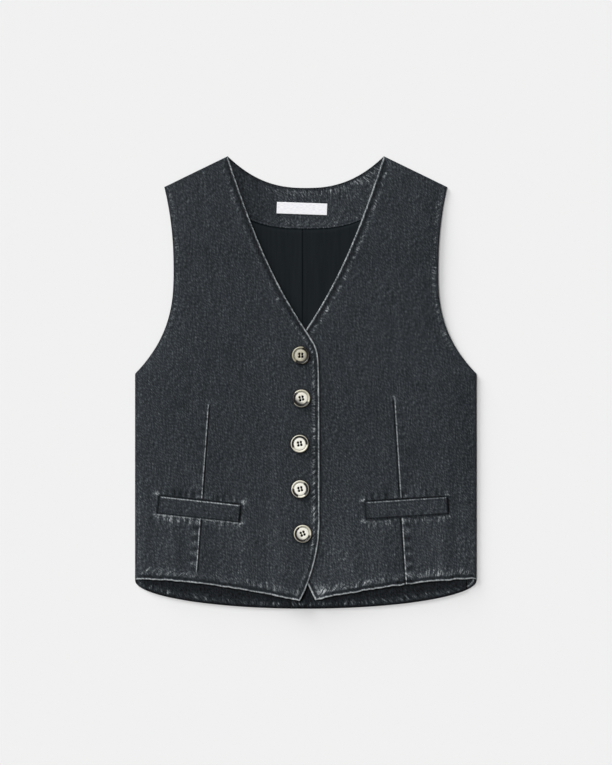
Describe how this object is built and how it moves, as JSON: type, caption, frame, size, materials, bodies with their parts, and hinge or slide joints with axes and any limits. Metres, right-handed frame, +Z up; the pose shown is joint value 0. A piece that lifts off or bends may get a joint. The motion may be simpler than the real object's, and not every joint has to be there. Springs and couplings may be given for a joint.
{
  "type": "denim vest",
  "caption": "Sleeveless V-neck denim vest laid flat on its back: buttoned overlapping fronts with welt pockets and darts, a longer curved back hem and an inside back lining.",
  "frame": {"origin": "under the middle of the outline, on the surface that the vest lies on", "axes": "+X towards the wearer's left, +Y from the hem to the shoulders, +Z up from the surface"},
  "size_m": [0.427, 0.566, 0.0177],
  "materials": {
    "denim": "washed black cotton twill, worn pale along its edges",
    "facing_denim": "washed black cotton twill",
    "lining": "black satin, soft sheen",
    "label_tape": "white woven tape, blank",
    "horn_resin": "polished bone-coloured resin"
  },
  "bodies": {
    "root": {"back": "denim", "back_hem_facing": "facing_denim", "back_lining": "lining", "back_neck_facing": "facing_denim", "label": "label_tape", "front_left": "denim", "front_right": "denim", "welt_left": "denim", "welt_right": "denim", "button_1": "horn_resin", "button_2": "horn_resin", "button_3": "horn_resin", "button_4": "horn_resin", "button_5": "horn_resin"}
  },
  "joints": []
}
